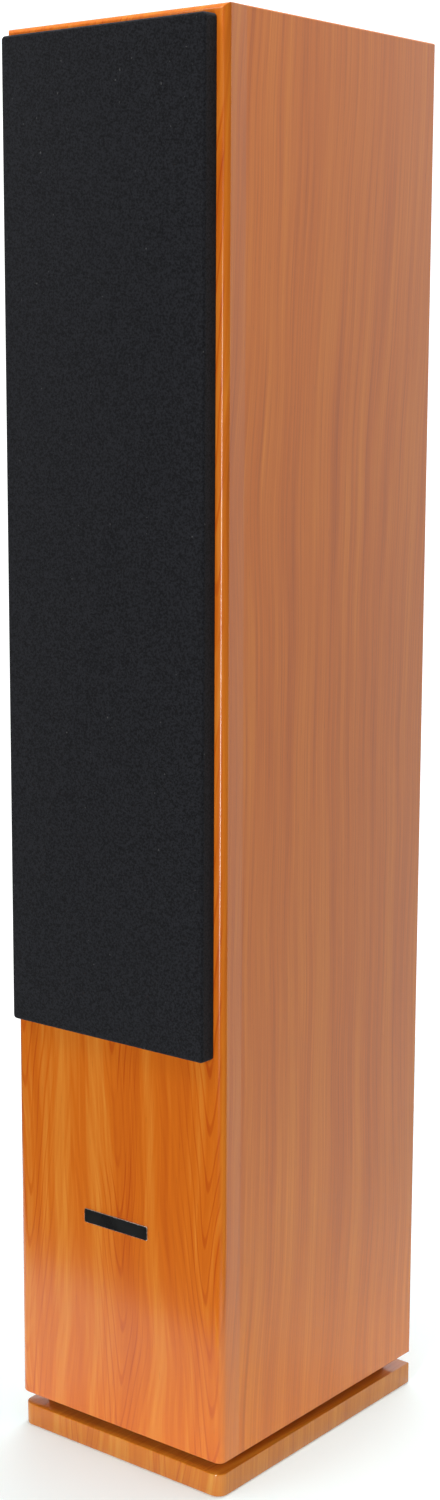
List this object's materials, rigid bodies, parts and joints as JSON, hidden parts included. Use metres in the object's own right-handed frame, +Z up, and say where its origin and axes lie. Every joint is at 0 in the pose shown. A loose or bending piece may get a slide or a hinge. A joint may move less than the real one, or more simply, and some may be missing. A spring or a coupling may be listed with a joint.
{
  "type": "floorstanding speaker",
  "caption": "Tall slim wooden loudspeaker on a plinth, with cone drivers and a dome tweeter behind a pull-off cloth grille, a rear port and binding posts.",
  "frame": {"origin": "centre of the plinth's underside, on the floor", "axes": "+Z up, +Y from the front of the cabinet towards its back, +X to the right seen from the front"},
  "size_m": [0.2, 0.268, 1.06],
  "materials": {
    "cherry_veneer": "satin lacquered cherry veneer with straight grain on the sides and flat-cut figure on the front",
    "raw_board": "raw fibreboard",
    "black_paint": "matt black painted fibreboard",
    "zinc_steel": "zinc plated",
    "wadding": "white polyester wadding",
    "black_plastic": "fine textured moulded plastic",
    "rubber": "soft matt",
    "cone": "coated paper cone, matt",
    "spider_cloth": "resin dipped woven cloth",
    "coil_former": "thin former wound with copper wire",
    "magnet": "ferrite ring between plated steel plates",
    "dome_silk": "coated silk",
    "grille_cloth": "fine black acoustic cloth",
    "badge_metal": "blank black anodised plate with a pale rim",
    "brass": "gold flashed",
    "red_plastic": "clear red moulding",
    "circuit_board": "solder mask green",
    "copper_coil": "enamelled copper wire",
    "wire_sleeve": "braided sleeve"
  },
  "bodies": {
    "cabinet": {"plinth_base": "cherry_veneer", "plinth_spacer": "black_paint", "plinth_bolt_1": "zinc_steel", "plinth_bolt_2": "zinc_steel", "plinth_bolt_3": "zinc_steel", "plinth_bolt_4": "zinc_steel", "front_baffle": "cherry_veneer", "side_panel_left": "cherry_veneer", "side_panel_right": "cherry_veneer", "top_panel": "cherry_veneer", "bottom_panel": "cherry_veneer", "back_panel": "cherry_veneer", "midrange_shelf": "raw_board", "window_brace": "raw_board", "damping_pad": "wadding", "lower_woofer_basket": "black_plastic", "lower_woofer_surround": "rubber", "lower_woofer_spider": "spider_cloth", "lower_woofer_magnet": "magnet", "upper_woofer_basket": "black_plastic", "upper_woofer_surround": "rubber", "upper_woofer_spider": "spider_cloth", "upper_woofer_magnet": "magnet", "midrange_basket": "black_plastic", "midrange_surround": "rubber", "midrange_spider": "spider_cloth", "midrange_magnet": "magnet", "tweeter_faceplate": "black_plastic", "tweeter_magnet": "magnet", "grille_socket_1": "rubber", "grille_socket_2": "rubber", "grille_socket_3": "rubber", "grille_socket_4": "rubber", "grille_socket_5": "rubber", "grille_socket_6": "rubber", "badge_plate": "badge_metal", "port_tube": "black_plastic", "terminal_cup": "black_plastic", "red_binding_post": "brass", "black_binding_post": "brass", "crossover_board": "circuit_board", "crossover_inductor": "copper_coil", "wiring_loom": "wire_sleeve"},
    "grille": {"grille_frame": "black_plastic", "grille_cloth": "grille_cloth", "grille_cloth_wrap": "grille_cloth"},
    "lower_woofer_moving": {"lower_woofer_cone": "cone", "lower_woofer_dust_cap": "cone", "lower_woofer_voice_coil": "coil_former"},
    "upper_woofer_moving": {"upper_woofer_cone": "cone", "upper_woofer_dust_cap": "cone", "upper_woofer_voice_coil": "coil_former"},
    "midrange_moving": {"midrange_cone": "cone", "midrange_dust_cap": "cone", "midrange_voice_coil": "coil_former"},
    "tweeter_moving": {"tweeter_dome": "dome_silk"},
    "red_clamp": {"red_clamp_washer": "brass"},
    "red_knob": {"red_terminal_knob": "red_plastic"},
    "black_clamp": {"black_clamp_washer": "brass"},
    "black_knob": {"black_terminal_knob": "black_plastic"}
  },
  "joints": [
    {"name": "grille_pull", "type": "slide", "parent": "cabinet", "child": "grille", "axis": [0, -1, 0], "range_m": [0, 0.03]},
    {"name": "lower_woofer_travel", "type": "slide", "parent": "cabinet", "child": "lower_woofer_moving", "axis": [0, -1, 0], "range_m": [-0.004, 0.004], "stiffness_N_per_m": 900, "deforming": ["lower_woofer_surround", "lower_woofer_spider"]},
    {"name": "upper_woofer_travel", "type": "slide", "parent": "cabinet", "child": "upper_woofer_moving", "axis": [0, -1, 0], "range_m": [-0.004, 0.004], "stiffness_N_per_m": 900, "deforming": ["upper_woofer_surround", "upper_woofer_spider"]},
    {"name": "midrange_travel", "type": "slide", "parent": "cabinet", "child": "midrange_moving", "axis": [0, -1, 0], "range_m": [-0.002, 0.002], "stiffness_N_per_m": 1800, "deforming": ["midrange_surround", "midrange_spider"]},
    {"name": "tweeter_travel", "type": "slide", "parent": "cabinet", "child": "tweeter_moving", "axis": [0, -1, 0], "range_m": [-0.0004, 0.0004], "stiffness_N_per_m": 400},
    {"name": "red_clamp_lift", "type": "slide", "parent": "cabinet", "child": "red_clamp", "axis": [0, 1, 0], "range_m": [0, 0.003]},
    {"name": "red_knob_turn", "type": "hinge", "parent": "red_clamp", "child": "red_knob", "pos_m": [0.019, 0.11, 0.18], "axis": [0, 1, 0], "range_deg": [0, 1080]},
    {"name": "black_clamp_lift", "type": "slide", "parent": "cabinet", "child": "black_clamp", "axis": [0, 1, 0], "range_m": [0, 0.003]},
    {"name": "black_knob_turn", "type": "hinge", "parent": "black_clamp", "child": "black_knob", "pos_m": [-0.019, 0.11, 0.18], "axis": [0, 1, 0], "range_deg": [0, 1080]}
  ],
  "couplings": [
    {"joint": "red_clamp_lift", "follows": "red_knob_turn", "m_per_rad": 0.00015915},
    {"joint": "black_clamp_lift", "follows": "black_knob_turn", "m_per_rad": 0.00015915}
  ]
}
